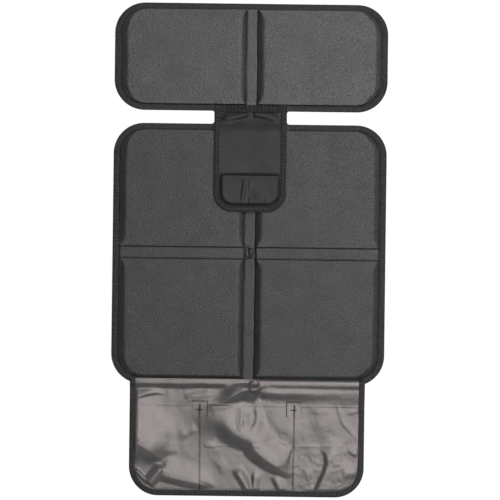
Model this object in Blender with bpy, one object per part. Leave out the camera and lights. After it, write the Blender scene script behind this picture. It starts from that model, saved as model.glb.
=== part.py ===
"""Car seat protector, lying face up and flat: two quilted foam panels joined by a neck, with an
anchor flap that folds over the neck and a limp nylon pocket sheet along the front edge.

Metres, +Z up, +X to the wearer's right of the seat, +Y towards the seat back. The origin is
under the middle of the whole protector, on the surface that it lies on.
"""
import math

import bmesh
import bpy
import numpy as np

# Quilted panels: outlines
PANEL_WIDTH = 0.465
BACK_LENGTH = 0.183
SEAT_LENGTH = 0.444
BELT_GAP = 0.022
PANEL_CORNER = 0.052

# Quilted panels: the pads and the sewn channels between them
CHANNEL_WIDTH = 0.016
CROSS_CHANNEL_WIDTH = 0.019
CROSS_CHANNEL_FROM_REAR = 0.220
PAD_CORNER = 0.010
PAD_SHOULDER = 0.012
TRAY_RUN = 0.003
FOAM_THICKNESS = 0.008

# Cloth and tape
COVER_THICKNESS = 0.0009
BACKING_THICKNESS = 0.0008
NYLON_THICKNESS = 0.0005
WEB_THICKNESS = 0.0008
TAPE_THICKNESS = 0.0006
BINDING_WIDTH = 0.010
CLEARANCE = 0.0003
SEAM_STEP = 0.0005

# Neck between the panels
NECK_WIDTH = 0.1235
NECK_FLARE = 0.004

# Anchor flap over the neck and the rear pads
FLAP_WIDTH = 0.1235
FLAP_LENGTH = 0.182
FLAP_CORNER = 0.032
FLAP_POCKET_DEPTH = 0.064
FLAP_POCKET_BULGE = 0.0015
HEADER_WIDTH = 0.012
FLAP_RAMP = 0.020

# Nylon pocket sheet along the front edge
POCKET_WIDTH = 0.400
POCKET_DROP = 0.190
POCKET_CORNER = 0.050
POCKET_MOUTH = 0.033
POCKET_SHEET_STEP = 0.008
DIVIDER_OFFSET = 0.080
PATCH_SIZE = 0.027
PATCH_DROP = 0.027
NYLON_CELL = 0.017
FLAP_CELL = 0.020

# Folds of the limp nylon, each a rounded ridge on a straight run. Start and end are shares of
# the pocket's half width and of its drop; then come the ridge's height and its spread.
NYLON_FOLDS = (
    ((-0.09, 0.30), (0.37, 0.75), 0.0070, 0.012),
    ((-0.02, 0.17), (-0.01, 0.44), 0.0050, 0.009),
    ((0.04, 0.06), (0.08, 0.14), 0.0045, 0.008),
    ((0.12, 0.08), (0.80, 0.10), 0.0025, 0.007),
    ((-0.24, 0.10), (0.01, 0.12), 0.0035, 0.008),
    ((-0.90, 0.14), (-0.67, 0.10), 0.0030, 0.009),
    ((-0.72, 0.74), (-0.83, 0.88), 0.0060, 0.010),
    ((-0.72, 0.80), (-0.40, 0.84), 0.0040, 0.010),
    ((0.02, 0.78), (0.03, 0.90), 0.0035, 0.009),
    ((0.70, 0.60), (0.65, 0.88), 0.0050, 0.011),
    ((-0.48, 0.50), (-0.26, 0.32), 0.0040, 0.012),
    ((0.48, 0.58), (0.82, 0.56), 0.0025, 0.008),
)
FOLD_MARGIN = 0.015
FOLD_FADE = 0.012

# Where each panel starts and ends along Y
TOTAL_LENGTH = BACK_LENGTH + BELT_GAP + SEAT_LENGTH + POCKET_DROP
BACK_REAR = TOTAL_LENGTH / 2
BACK_FRONT = BACK_REAR - BACK_LENGTH
SEAT_REAR = BACK_FRONT - BELT_GAP
SEAT_FRONT = SEAT_REAR - SEAT_LENGTH
POCKET_FRONT = SEAT_FRONT - POCKET_DROP
CROSS_CHANNEL = SEAT_REAR - CROSS_CHANNEL_FROM_REAR

# Heights of the layers from the floor up: bound edge first, then the pads
EDGE_INSET = TAPE_THICKNESS + CLEARANCE
BACKING_WEB = TAPE_THICKNESS + CLEARANCE + BACKING_THICKNESS
COVER_WEB = BACKING_WEB + CLEARANCE + COVER_THICKNESS
EDGE_HEIGHT = COVER_WEB + CLEARANCE + TAPE_THICKNESS
FOAM_FLOOR = BACKING_THICKNESS + CLEARANCE
PAD_HEIGHT = FOAM_FLOOR + FOAM_THICKNESS + CLEARANCE + COVER_THICKNESS
PAD_INSET = BINDING_WIDTH + SEAM_STEP

# Heights inside a binding that holds two layers of nylon, from its own underside
LAYER_ONE = TAPE_THICKNESS + CLEARANCE
LAYER_TWO = LAYER_ONE + NYLON_THICKNESS + CLEARANCE
POUCH_HEIGHT = LAYER_TWO + NYLON_THICKNESS + CLEARANCE + TAPE_THICKNESS

# Heights of what lies on the panels
NECK_HEIGHT = EDGE_HEIGHT + CLEARANCE
FLAP_HIGH = PAD_HEIGHT + CLEARANCE
FLAP_LOW = NECK_HEIGHT + WEB_THICKNESS + CLEARANCE
POCKET_HIGH = EDGE_HEIGHT + CLEARANCE

# Shares of the shoulder at which the pads' rounded edge has a ring of points
SHOULDER_SHARES = (0.0, 0.12, 0.35, 0.65, 1.0)
FOAM_SHARES = SHOULDER_SHARES[2:]
PANEL_ARC_STEPS = 8
PAD_ARC_STEPS = 3
SHARP_ANGLE = math.radians(40)


def clear_scene():
    for item in list(bpy.data.objects):
        bpy.data.objects.remove(item, do_unlink=True)


def linear_channel(value):
    share = value / 255
    if share <= 0.04045:
        return share / 12.92
    return ((share + 0.055) / 1.055) ** 2.4


def cloth(name, red, green, blue, roughness):
    """A plain woven or coated cloth in one sRGB colour."""
    material = bpy.data.materials.new(name)
    material.use_nodes = True
    shader = material.node_tree.nodes["Principled BSDF"]
    colour = [linear_channel(value) for value in (red, green, blue)]
    shader.inputs["Base Color"].default_value = (*colour, 1.0)
    shader.inputs["Roughness"].default_value = roughness
    shader.inputs["Metallic"].default_value = 0.0
    return material


def rounded_outline(box, radii, steps, inset=0.0):
    """Counter-clockwise rounded rectangle drawn in by inset, from its +X +Y corner on."""
    left, right, front, rear = box
    corners = ((right, rear, 1, 1), (left, rear, -1, 1), (left, front, -1, -1), (right, front, 1, -1))
    points = []
    for quarter, (x, y, side_x, side_y) in enumerate(corners):
        radius = max(radii[quarter] - inset, CLEARANCE)
        centre_x = x - side_x * (inset + radius)
        centre_y = y - side_y * (inset + radius)
        for step in range(steps[quarter] + 1):
            angle = math.pi / 2 * (quarter + step / steps[quarter])
            points.append((centre_x + radius * math.cos(angle), centre_y + radius * math.sin(angle)))
    return points


def panel_box(front, rear):
    return -PANEL_WIDTH / 2, PANEL_WIDTH / 2, front, rear


def panel_outline(box, inset):
    return rounded_outline(box, (PANEL_CORNER,) * 4, (PANEL_ARC_STEPS,) * 4, inset)


def pad_shapes(divisions):
    """Boxes and corner radii of a panel's pads: two across, and one row for each division."""
    inner = CHANNEL_WIDTH / 2
    outer = PANEL_WIDTH / 2 - PAD_INSET
    round_corner = PANEL_CORNER - PAD_INSET
    shapes = []
    for row, (low, high) in enumerate(divisions):
        low_radius = round_corner if row == 0 else PAD_CORNER
        high_radius = round_corner if row == len(divisions) - 1 else PAD_CORNER
        left_radii = (PAD_CORNER, high_radius, low_radius, PAD_CORNER)
        right_radii = (high_radius, PAD_CORNER, PAD_CORNER, low_radius)
        shapes.append(((-outer, -inner, low, high), left_radii))
        shapes.append(((inner, outer, low, high), right_radii))
    return shapes


def pad_outline(shape, inset):
    box, radii = shape
    steps = [PAD_ARC_STEPS * 2 if radius > PAD_CORNER else PAD_ARC_STEPS for radius in radii]
    return rounded_outline(box, radii, steps, inset)


def shoulder_height(share, foot, top):
    """Quarter ellipse from the foot of a pad's edge to its flat top."""
    return foot + (top - foot) * math.sqrt(1 - (1 - share) ** 2)


def add_loop(mesh, outline, height):
    return [mesh.verts.new((x, y, height)) for x, y in outline]


def join_loops(mesh, first, second):
    count = len(first)
    for index in range(count):
        after = (index + 1) % count
        mesh.faces.new((first[index], first[after], second[after], second[index]))


def loop_edges(mesh, loop):
    edges = []
    for index, vertex in enumerate(loop):
        ends = (vertex, loop[(index + 1) % len(loop)])
        edges.append(mesh.edges.get(ends) or mesh.edges.new(ends))
    return edges


def thicken(mesh, depth):
    """Gives an open cloth its thickness, straight up or down."""
    extruded = bmesh.ops.extrude_face_region(mesh, geom=mesh.faces[:])
    moved = [item for item in extruded["geom"] if isinstance(item, bmesh.types.BMVert)]
    bmesh.ops.translate(mesh, verts=moved, vec=(0.0, 0.0, depth))


def add_object(name, mesh, material):
    bmesh.ops.recalc_face_normals(mesh, faces=mesh.faces[:])
    data = bpy.data.meshes.new(name)
    mesh.to_mesh(data)
    mesh.free()
    data.materials.append(material)
    data.shade_smooth()
    data.set_sharp_from_angle(angle=SHARP_ANGLE)
    item = bpy.data.objects.new(name, data)
    bpy.context.scene.collection.objects.link(item)
    return item


def quilted_cloth(name, box, pads, web_height, profile, thickness, material):
    """A cloth sewn down along its edge and channels, shaped over or under each pad between.

    The profile lists the inset from a pad's outline and the height of the cloth's upper face.
    """
    mesh = bmesh.new()
    rim = add_loop(mesh, panel_outline(box, EDGE_INSET), web_height)
    edges = loop_edges(mesh, rim)
    for shape in pads:
        loops = [add_loop(mesh, pad_outline(shape, inset), height) for inset, height in profile]
        for outer, inner in zip(loops, loops[1:]):
            join_loops(mesh, outer, inner)
        mesh.faces.new(loops[-1])
        edges += loop_edges(mesh, loops[0])
    bmesh.ops.triangle_fill(mesh, use_beauty=True, edges=edges)
    thicken(mesh, -thickness)
    return add_object(name, mesh, material)


def foam_pad(name, shape, material):
    """A foam block in its pocket of cloth, with its upper edge rounded under the cover."""
    mesh = bmesh.new()
    top = PAD_HEIGHT - COVER_THICKNESS - CLEARANCE
    foot = COVER_WEB - COVER_THICKNESS - CLEARANCE
    loops = [add_loop(mesh, pad_outline(shape, PAD_SHOULDER * FOAM_SHARES[0]), FOAM_FLOOR)]
    for share in FOAM_SHARES:
        outline = pad_outline(shape, PAD_SHOULDER * share)
        loops.append(add_loop(mesh, outline, shoulder_height(share, foot, top)))
    for lower, upper in zip(loops, loops[1:]):
        join_loops(mesh, lower, upper)
    mesh.faces.new(loops[0])
    mesh.faces.new(loops[-1])
    return add_object(name, mesh, material)


def folded_tape(height):
    """Section of a tape folded round an edge: insets and heights, open towards the cloth."""
    roll = TAPE_THICKNESS / 2
    return (
        (roll, 0.0),
        (0.0, roll),
        (0.0, height - roll),
        (roll, height),
        (BINDING_WIDTH, height),
        (BINDING_WIDTH, height - TAPE_THICKNESS),
        (TAPE_THICKNESS, height - TAPE_THICKNESS),
        (TAPE_THICKNESS, TAPE_THICKNESS),
        (BINDING_WIDTH, TAPE_THICKNESS),
        (BINDING_WIDTH, 0.0),
    )


def panel_binding(name, box, material):
    """The tape sewn all round a panel, as one closed ring."""
    mesh = bmesh.new()
    loops = [add_loop(mesh, panel_outline(box, inset), z) for inset, z in folded_tape(EDGE_HEIGHT)]
    for index, loop in enumerate(loops):
        join_loops(mesh, loop, loops[(index + 1) % len(loops)])
    return add_object(name, mesh, material)


def tongue_path(half_width, front, radius, stations, inset):
    """Down the +X side of a tongue-shaped sheet, round its two front corners and up the other."""
    path = [(half_width - inset, y) for y in stations[:-1]]
    centre_x = half_width - radius
    centre_y = front + radius
    bend = radius - inset
    for side, start in ((1, 0.0), (-1, -math.pi / 2)):
        for step in range(PANEL_ARC_STEPS + 1):
            angle = start - math.pi / 2 * step / PANEL_ARC_STEPS
            path.append((side * centre_x + bend * math.cos(angle), centre_y + bend * math.sin(angle)))
    path += [(inset - half_width, y) for y in reversed(stations[:-1])]
    return path


def tongue_binding(name, half_width, front, radius, stations, underside, material):
    """The tape folded round three sides of a tongue-shaped sheet, at the height underside gives."""
    mesh = bmesh.new()
    loops = []
    for inset, height in folded_tape(POUCH_HEIGHT):
        path = tongue_path(half_width, front, radius, stations, inset)
        loops.append([mesh.verts.new((x, y, underside(y) + height)) for x, y in path])
    for index, loop in enumerate(loops):
        following = loops[(index + 1) % len(loops)]
        for step in range(len(loop) - 1):
            mesh.faces.new((loop[step], loop[step + 1], following[step + 1], following[step]))
    mesh.faces.new([loop[0] for loop in loops])
    mesh.faces.new([loop[-1] for loop in loops])
    return add_object(name, mesh, material)


def spaced(stops, spacing):
    """Values from the first stop to the last, with every stop kept and even steps between."""
    values = [stops[0]]
    for start, end in zip(stops, stops[1:]):
        count = max(1, math.ceil(abs(end - start) / spacing))
        values += [start + (end - start) * step / count for step in range(1, count)] + [end]
    return values


def tongue_grid(half_width, front, radius, columns, stations):
    """Points of a sheet with two round front corners; its rows narrow as the corners turn in."""
    angles = np.linspace(math.pi / 2, 0.0, PANEL_ARC_STEPS - 1)[1:]
    arc_rows = front + radius * (1 - np.cos(angles))
    rows = np.concatenate((np.array(stations), arc_rows))
    turn = np.clip(1 - (rows - front) / radius, 0.0, 1.0)
    half_widths = half_width - radius * (1 - np.sqrt(1 - turn ** 2))
    shares = np.array(columns) / half_width
    return shares[None, :] * half_widths[:, None], np.repeat(rows[:, None], len(columns), axis=1)


def cloth_sheet(name, x, y, underside, thickness, material):
    """One layer of cloth over a grid of points, with its lower face at the given heights."""
    mesh = bmesh.new()
    rows, columns = x.shape
    grid = [[mesh.verts.new((x[r, c], y[r, c], underside[r, c])) for c in range(columns)] for r in range(rows)]
    for r in range(rows - 1):
        for c in range(columns - 1):
            mesh.faces.new((grid[r][c], grid[r + 1][c], grid[r + 1][c + 1], grid[r][c + 1]))
    thicken(mesh, thickness)
    return add_object(name, mesh, material)


def smooth_step(value):
    share = np.clip(value, 0.0, 1.0)
    return share * share * (3 - 2 * share)


def pocket_underside(y):
    """Height of the pocket sheet's underside: on the seat panel's bound edge, then on the floor."""
    return POCKET_HIGH * (1 - smooth_step((SEAT_FRONT - y) / POCKET_SHEET_STEP))


def flap_underside(y):
    """Height of the flap's underside: over the neck, then up and over the rear pads."""
    pad_foot = SEAT_REAR - PAD_INSET
    ramp_start = pad_foot + FLAP_RAMP - PAD_SHOULDER * FOAM_SHARES[1]
    return FLAP_LOW + (FLAP_HIGH - FLAP_LOW) * smooth_step((ramp_start - y) / FLAP_RAMP)


def nylon_rise(x, y):
    """How far the limp nylon stands up in folds; it lies flat where the tape holds it."""
    half_width = POCKET_WIDTH / 2
    rise = np.zeros_like(x)
    for start, end, height, spread in NYLON_FOLDS:
        start_x, start_y = start[0] * half_width, SEAT_FRONT - start[1] * POCKET_DROP
        run_x = end[0] * half_width - start_x
        run_y = SEAT_FRONT - end[1] * POCKET_DROP - start_y
        along = ((x - start_x) * run_x + (y - start_y) * run_y) / (run_x ** 2 + run_y ** 2)
        along = np.clip(along, 0.0, 1.0)
        distance = np.hypot(x - start_x - along * run_x, y - start_y - along * run_y)
        rise = np.maximum(rise, height * np.exp(-((distance / spread) ** 2)))
    turn_x = np.maximum(np.abs(x) - half_width + POCKET_CORNER, 0.0)
    turn_y = np.maximum(POCKET_FRONT + POCKET_CORNER - y, 0.0)
    to_edge = POCKET_CORNER - np.hypot(turn_x, turn_y)
    to_edge = np.minimum(to_edge, half_width - np.abs(x))
    from_seat = smooth_step((SEAT_FRONT - y) / FOLD_FADE)
    return rise * from_seat * smooth_step((to_edge - FOLD_MARGIN) / FOLD_FADE)


def seat_and_back(materials):
    cover, backing, foam, tape, web = materials
    shoulder = [(PAD_SHOULDER * share, shoulder_height(share, COVER_WEB, PAD_HEIGHT)) for share in SHOULDER_SHARES]
    tray = [(0.0, BACKING_WEB), (TRAY_RUN, BACKING_THICKNESS)]
    cross_front = CROSS_CHANNEL - CROSS_CHANNEL_WIDTH / 2
    cross_rear = CROSS_CHANNEL + CROSS_CHANNEL_WIDTH / 2
    panels = (
        ("back", BACK_FRONT, BACK_REAR, ((BACK_FRONT + PAD_INSET, BACK_REAR - PAD_INSET),), ("back_foam",)),
        ("seat", SEAT_FRONT, SEAT_REAR,
         ((SEAT_FRONT + PAD_INSET, cross_front), (cross_rear, SEAT_REAR - PAD_INSET)),
         ("front_foam", "rear_foam")),
    )
    for panel, front, rear, divisions, foam_names in panels:
        box = panel_box(front, rear)
        pads = pad_shapes(divisions)
        quilted_cloth(f"{panel}_cover", box, pads, COVER_WEB, shoulder, COVER_THICKNESS, cover)
        quilted_cloth(f"{panel}_backing", box, pads, BACKING_WEB, tray, BACKING_THICKNESS, backing)
        panel_binding(f"{panel}_binding", box, tape)
        names = [f"{name}_{side}" for name in foam_names for side in ("left", "right")]
        for name, shape in zip(names, pads):
            foam_pad(name, shape, foam)
    neck_web("neck_web", web)


def neck_web(name, material):
    """The strip of cloth that joins the panels, flared where it meets their bound edges."""
    half = NECK_WIDTH / 2
    side = [(half + NECK_FLARE, SEAT_REAR - BINDING_WIDTH)]
    for centre_y, start, end in ((SEAT_REAR + NECK_FLARE, -90, -180), (BACK_FRONT - NECK_FLARE, 180, 90)):
        for angle in np.radians(np.linspace(start, end, PAD_ARC_STEPS + 1)):
            x = half + NECK_FLARE * (1 + math.cos(angle))
            side.append((x, centre_y + NECK_FLARE * math.sin(angle)))
    side.append((half + NECK_FLARE, BACK_FRONT + BINDING_WIDTH))
    outline = side + [(-x, y) for x, y in reversed(side)]
    mesh = bmesh.new()
    mesh.faces.new(add_loop(mesh, outline, NECK_HEIGHT))
    thicken(mesh, WEB_THICKNESS)
    return add_object(name, mesh, material)


def anchor_flap(cloth_material, tape):
    """The flap: two layers of nylon as a slip pocket, a header tape, and a binding round them."""
    half = FLAP_WIDTH / 2
    rear = BACK_FRONT + BINDING_WIDTH
    front = rear - FLAP_LENGTH
    header_front = rear - HEADER_WIDTH
    mouth = front + FLAP_POCKET_DEPTH
    pad_foot = SEAT_REAR - PAD_INSET
    ramp_start = pad_foot + FLAP_RAMP - PAD_SHOULDER * FOAM_SHARES[1]
    ramp = spaced((ramp_start, ramp_start - FLAP_RAMP), FLAP_RAMP / 5)
    corner_start = front + FLAP_CORNER
    stations = spaced((rear, header_front), FLAP_CELL)[:-1] + [header_front] + ramp
    stations += spaced((ramp[-1], mouth, corner_start), FLAP_CELL)[1:]

    inner_half = half - EDGE_INSET
    inner_front = front + EDGE_INSET
    inner_radius = FLAP_CORNER - EDGE_INSET
    columns = spaced((-inner_half, BINDING_WIDTH - half, half - BINDING_WIDTH, inner_half), FLAP_CELL)
    x, y = tongue_grid(inner_half, inner_front, inner_radius, columns, stations)
    base = flap_underside(y)
    cloth_sheet("flap_body", x, y, base + LAYER_ONE, NYLON_THICKNESS, cloth_material)

    header_rows = stations.index(header_front) + 1
    top = slice(0, header_rows)
    cloth_sheet("flap_header_tape", x[top], y[top], base[top] + LAYER_TWO, NYLON_THICKNESS, tape)

    low = slice(stations.index(mouth), None)
    across = np.cos(np.clip(x / (half - BINDING_WIDTH), -1, 1) * math.pi / 2)
    up = np.clip((y - front - BINDING_WIDTH) / FLAP_POCKET_DEPTH, 0, 1)
    bulge = FLAP_POCKET_BULGE * across * np.sin(up * math.pi)
    pouch = base[low] + LAYER_TWO + bulge[low]
    cloth_sheet("flap_pocket", x[low], y[low], pouch, NYLON_THICKNESS, cloth_material)
    tongue_binding("flap_binding", half, front, FLAP_CORNER, stations, flap_underside, tape)


def nylon_pocket(nylon, tape):
    """The pocket sheet: a full-size back layer, a front layer below the mouth, and two patches."""
    half = POCKET_WIDTH / 2
    rear = SEAT_FRONT + BINDING_WIDTH
    corner_start = POCKET_FRONT + POCKET_CORNER
    step_end = SEAT_FRONT - POCKET_SHEET_STEP
    mouth = SEAT_FRONT - POCKET_MOUTH
    patch_rear = SEAT_FRONT - PATCH_DROP
    patch_front = patch_rear - PATCH_SIZE
    stations = spaced((rear, SEAT_FRONT), NYLON_CELL)
    stations += spaced((SEAT_FRONT, step_end), POCKET_SHEET_STEP / 4)[1:]
    stations += spaced((step_end, patch_rear, mouth, patch_front, corner_start), NYLON_CELL)[1:]

    inner_half = half - EDGE_INSET
    inner_front = POCKET_FRONT + EDGE_INSET
    inner_radius = POCKET_CORNER - EDGE_INSET
    near, far = DIVIDER_OFFSET - PATCH_SIZE / 2, DIVIDER_OFFSET + PATCH_SIZE / 2
    taped = half - BINDING_WIDTH
    columns = spaced((-inner_half, -taped, -far, -near, near, far, taped, inner_half), NYLON_CELL)
    x, y = tongue_grid(inner_half, inner_front, inner_radius, columns, stations)
    base = pocket_underside(y) + nylon_rise(x, y)
    cloth_sheet("pocket_back_layer", x, y, base + LAYER_ONE, NYLON_THICKNESS, nylon)

    low = slice(stations.index(mouth), None)
    front_base = base + LAYER_TWO
    cloth_sheet("pocket_front_layer", x[low], y[low], front_base[low], NYLON_THICKNESS, nylon)

    rows = slice(stations.index(patch_rear), stations.index(patch_front) + 1)
    patch_base = front_base + NYLON_THICKNESS + CLEARANCE
    for name, start, end in (("patch_left", -far, -near), ("patch_right", near, far)):
        part = (rows, slice(columns.index(start), columns.index(end) + 1))
        cloth_sheet(name, x[part], y[part], patch_base[part], NYLON_THICKNESS, nylon)
    tongue_binding("pocket_binding", half, POCKET_FRONT, POCKET_CORNER, stations, pocket_underside, tape)


clear_scene()
COVER_CLOTH = cloth("Coated polyester cover", 92, 92, 92, 0.62)
BACKING_CLOTH = cloth("Non-slip backing cloth", 40, 40, 41, 0.85)
PAD_FOAM = cloth("Grey pad foam", 70, 70, 70, 0.95)
BINDING_TAPE = cloth("Grosgrain binding tape", 42, 42, 42, 0.8)
FLAP_CLOTH = cloth("Matt charcoal nylon", 62, 62, 62, 0.7)
POCKET_NYLON = cloth("Grey coated nylon", 142, 137, 135, 0.35)
seat_and_back((COVER_CLOTH, BACKING_CLOTH, PAD_FOAM, BINDING_TAPE, FLAP_CLOTH))
anchor_flap(FLAP_CLOTH, BINDING_TAPE)
nylon_pocket(POCKET_NYLON, BINDING_TAPE)
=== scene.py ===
import math

import bpy
import numpy as np
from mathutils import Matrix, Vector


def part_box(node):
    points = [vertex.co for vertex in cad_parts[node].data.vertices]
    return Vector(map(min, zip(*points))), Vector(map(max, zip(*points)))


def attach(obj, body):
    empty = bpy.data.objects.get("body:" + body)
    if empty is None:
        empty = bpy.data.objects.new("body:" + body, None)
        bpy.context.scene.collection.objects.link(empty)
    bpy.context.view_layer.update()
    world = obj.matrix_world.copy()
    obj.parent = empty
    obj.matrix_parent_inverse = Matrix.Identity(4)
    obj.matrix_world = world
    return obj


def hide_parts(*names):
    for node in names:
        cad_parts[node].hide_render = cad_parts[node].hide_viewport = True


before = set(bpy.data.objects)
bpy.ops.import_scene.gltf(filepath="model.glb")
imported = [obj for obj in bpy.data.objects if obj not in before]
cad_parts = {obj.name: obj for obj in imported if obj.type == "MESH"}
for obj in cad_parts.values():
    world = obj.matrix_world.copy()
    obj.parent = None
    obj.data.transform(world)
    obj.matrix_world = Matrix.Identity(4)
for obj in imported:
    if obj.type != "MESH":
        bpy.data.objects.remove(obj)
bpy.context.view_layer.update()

# Studio: white paper on the table and round the room, seen from straight above. A wide soft box
# hangs over the part, a little to the upper right, so the cloth's sheen faces the camera where
# the part lies flat. A small one low on the right softens only the slopes that face it.
CAMERA_HEIGHT = 3.0
VIEW_WIDTH = 0.852
VIEW_CENTRE = (0.0017, 0.0002)
VIEW_TURN = math.radians(0.72)
SOFT_BOX_PLACE = (0.72, 0.38, 3.30)
SOFT_BOX_SIZE = (2.2, 2.6)
SOFT_BOX_POWER = 116.0
SIDE_BOX_PLACE = (2.70, 0.50, 1.25)
SIDE_BOX_SIZE = (0.7, 0.7)
SIDE_BOX_POWER = 9.0
CEILING_LIGHT = 0.05
PAPER_WALL_DISTANCE = 9.0
PAPER_WALL_HEIGHT = 1.8


def linear(code):
    """Linear RGBA of an sRGB hex colour: above the toe, ((c + 0.055) / 1.055) to the power 2.4."""
    channels = [int(code[i:i + 2], 16) / 255 for i in (1, 3, 5)]
    return [c / 12.92 if c <= 0.04045 else ((c + 0.055) / 1.055) ** 2.4 for c in channels] + [1.0]


def add_node(tree, kind, settings=None, links=None):
    """Adds a node. Settings name its sockets or its options. Links feed its sockets, each from a
    socket or from a node's first one."""
    made = tree.nodes.new("ShaderNode" + kind)
    for name, value in (settings or {}).items():
        if isinstance(name, int) or name in made.inputs:
            made.inputs[name].default_value = value
        else:
            setattr(made, name, value)
    for name, source in (links or {}).items():
        source = source if isinstance(source, bpy.types.NodeSocket) else source.outputs[0]
        tree.links.new(source, made.inputs[name])
    return made


def new_material(name):
    """A material with an empty node tree, and that tree."""
    material = bpy.data.materials.new(name)
    material.use_nodes = True
    material.node_tree.nodes.clear()
    return material, material.node_tree


camera_data = bpy.data.cameras.new("camera")
camera_data.sensor_width = 36.0
camera_data.lens = 36.0 * CAMERA_HEIGHT / VIEW_WIDTH
camera = bpy.data.objects.new("camera", camera_data)
camera.location = (*VIEW_CENTRE, CAMERA_HEIGHT)
camera.rotation_euler = (0.0, 0.0, VIEW_TURN)
bpy.context.scene.collection.objects.link(camera)
bpy.context.scene.camera = camera
bpy.context.scene.view_settings.view_transform = "Standard"

for name, place, size, power in (("soft_box", SOFT_BOX_PLACE, SOFT_BOX_SIZE, SOFT_BOX_POWER),
                                 ("side_box", SIDE_BOX_PLACE, SIDE_BOX_SIZE, SIDE_BOX_POWER)):
    lamp_data = bpy.data.lights.new(name, "AREA")
    lamp_data.shape = "RECTANGLE"
    lamp_data.size, lamp_data.size_y = size
    lamp_data.energy = power
    lamp = bpy.data.objects.new(name, lamp_data)
    lamp.location = place
    x, y, z = place
    lamp.rotation_euler = (-math.atan2(y, z), math.atan2(x, math.hypot(y, z)), 0.0)
    bpy.context.scene.collection.objects.link(lamp)

world = bpy.data.worlds.new("dim_ceiling")
world.use_nodes = True
ceiling = world.node_tree.nodes["Background"]
ceiling.inputs["Color"].default_value = linear("#e6f2f8")
ceiling.inputs["Strength"].default_value = CEILING_LIGHT
bpy.context.scene.world = world

# The paper shows white to the camera and in reflections, dims a little in the part's shadow, and
# sends back no more light than paper would.
white_paper, tree = new_material("White studio paper")
ray = add_node(tree, "LightPath")
seen = add_node(tree, "Math", {"operation": "MAXIMUM"},
                {0: ray.outputs["Is Camera Ray"], 1: ray.outputs["Is Glossy Ray"]})
seen = add_node(tree, "Math", {"operation": "MAXIMUM"}, {0: seen, 1: ray.outputs["Is Transmission Ray"]})
paper = add_node(tree, "BsdfDiffuse", {"Color": linear("#c4c4c4")})
shadow_catch = add_node(tree, "BsdfDiffuse", {"Color": linear("#5a5a5a")})
paper_glow = add_node(tree, "Emission", {"Color": linear("#ffffff"), "Strength": 0.94})
shown = add_node(tree, "AddShader", {}, {0: shadow_catch, 1: paper_glow})
mixed = add_node(tree, "MixShader", {}, {0: seen, 1: paper, 2: shown})
add_node(tree, "OutputMaterial", {}, {"Surface": mixed})
turn = np.linspace(0, 2 * math.pi, 49)[:-1]
ring = np.stack((np.cos(turn), np.sin(turn)), -1) * PAPER_WALL_DISTANCE
wall = np.vstack([np.column_stack((ring, np.full(48, z))) for z in (-0.0003, PAPER_WALL_HEIGHT)])
sides = [(k, 48 + k, 48 + (k + 1) % 48, (k + 1) % 48) for k in range(48)]
paper_mesh = bpy.data.meshes.new("paper")
paper_mesh.from_pydata(wall.tolist(), [], [tuple(range(48)), *sides])
paper_mesh.materials.append(white_paper)
paper_sheet = bpy.data.objects.new("paper", paper_mesh)
bpy.context.scene.collection.objects.link(paper_sheet)


# Underside of the two panels: one sheet of non-slip cloth each, woven polyester with rubber
# grip dots, flat under the foam and sewn up against the cover along the channels and the edge.
PANEL_CORNER = 0.052
SEWN_EDGE = 0.0009
PAD_EDGE = 0.0105
CHANNEL_MIDDLE = 0.0012
CHANNEL_HALF = 0.0088
CROSS_CHANNEL = -0.0055
CROSS_HALF = 0.0095
PANELS = (("seat", (CROSS_CHANNEL,)), ("back", ()))
BACKING_THICK = 0.0008
CLOTH_LIFT = 0.0009
TRAY_RUN = 0.004
BACKING_COLOUR = "#27272a"
GRIP_DOT_COLOUR = "#3a3a3d"
GRIP_DOT_PITCH = 0.006
LAYER_GAP = 0.0003
FAR_REAR = 0.4  # a rear side so far back holds nothing
WAVE_REPEAT = 0.314159  # a Wave texture of scale 1 repeats every 314 mm


def mesh_piece(name, points, faces, material, texture=None):
    """Mesh from arrays of points and quads, turned so that the volume inside it is positive."""
    a, b, c, d = (points[faces[:, i]] for i in range(4))
    volume = np.einsum("ij,ij->", np.cross(a, b), c) + np.einsum("ij,ij->", np.cross(a, c), d)
    faces = faces if volume > 0 else faces[:, ::-1]
    mesh = bpy.data.meshes.new(name)
    mesh.from_pydata(points.tolist(), [], faces.tolist(), shade_flat=False)
    if texture is not None:
        layer = mesh.uv_layers.new(name="cloth_run")
        layer.uv.foreach_set("vector", texture[faces.ravel()].astype(np.float32).ravel())
    mesh.validate()
    mesh.set_sharp_from_angle(angle=math.radians(55))
    mesh.materials.append(material)
    piece = bpy.data.objects.new(name, mesh)
    bpy.context.scene.collection.objects.link(piece)
    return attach(piece, "root")


def slab(name, x, y, top, bottom, material):
    """Closed sheet: a grid of quads at height top, the same grid turned over at height bottom,
    and one row of quads down the rim."""
    rows, columns = x.shape
    grid = np.arange(rows * columns).reshape(rows, columns)
    quads = np.stack((grid[:-1, :-1], grid[:-1, 1:], grid[1:, 1:], grid[1:, :-1]), -1).reshape(-1, 4)
    rim = np.concatenate((grid[0, :-1], grid[:-1, -1], grid[-1, :0:-1], grid[:0:-1, 0]))
    below = rows * columns
    walls = np.stack((rim + below, np.roll(rim, -1) + below, np.roll(rim, -1), rim), -1)
    faces = np.concatenate((quads, quads[:, ::-1] + below, walls))
    flat = np.tile(np.stack((x.ravel(), y.ravel()), -1), (2, 1))
    points = np.column_stack((flat, np.concatenate((top.ravel(), bottom.ravel()))))
    return mesh_piece(name, points, faces, material, flat)


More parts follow.
